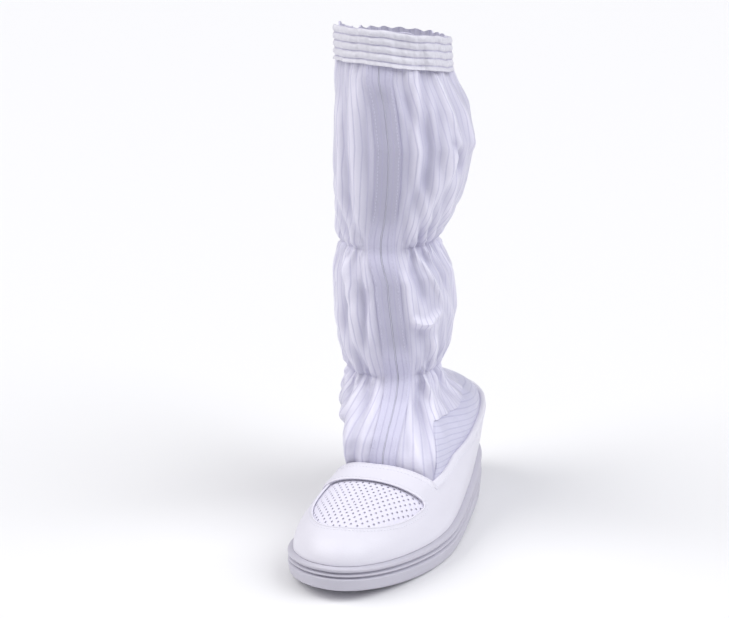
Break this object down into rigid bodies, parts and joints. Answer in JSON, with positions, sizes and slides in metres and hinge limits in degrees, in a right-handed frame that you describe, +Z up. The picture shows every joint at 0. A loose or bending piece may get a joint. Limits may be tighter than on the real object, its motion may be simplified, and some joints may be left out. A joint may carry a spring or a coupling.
{
  "type": "cleanroom boot",
  "caption": "Soft-legged cleanroom boot for the left foot: moulded sole, coated upper with a net window, and a gathered cloth leg with a front zip and a top closure band.",
  "frame": {"origin": "middle of the whole boot's box, on the floor that the sole stands on", "axes": "+Z up along the leg, -Y towards the toe, +X towards the outer side of this left boot"},
  "size_m": [0.113, 0.2858, 0.3592],
  "materials": {
    "moulded_sole": "white moulded polyurethane, satin",
    "insole_cloth": "white felted cloth, matte",
    "coated_upper": "white coated synthetic leather, fine grain, satin",
    "striped_cloth": "white polyester with thin grey stripes, slight sheen",
    "white_net": "white net of small diamond holes",
    "white_zip": "white coil zip on white tape",
    "elastic": "white woven elastic"
  },
  "bodies": {
    "root": {"outsole": "moulded_sole", "insole": "insole_cloth", "upper": "coated_upper", "toe_net": "white_net", "instep_strap": "coated_upper", "collar_binding": "coated_upper", "shaft_ankle": "striped_cloth", "shaft_shin": "striped_cloth", "shaft_calf": "striped_cloth", "heel_panel": "striped_cloth", "front_zip": "white_zip", "zip_facing_inner": "striped_cloth", "zip_facing_outer": "striped_cloth", "ankle_elastic": "elastic", "calf_elastic": "elastic", "top_hem": "striped_cloth", "closure_band": "striped_cloth"}
  },
  "joints": []
}
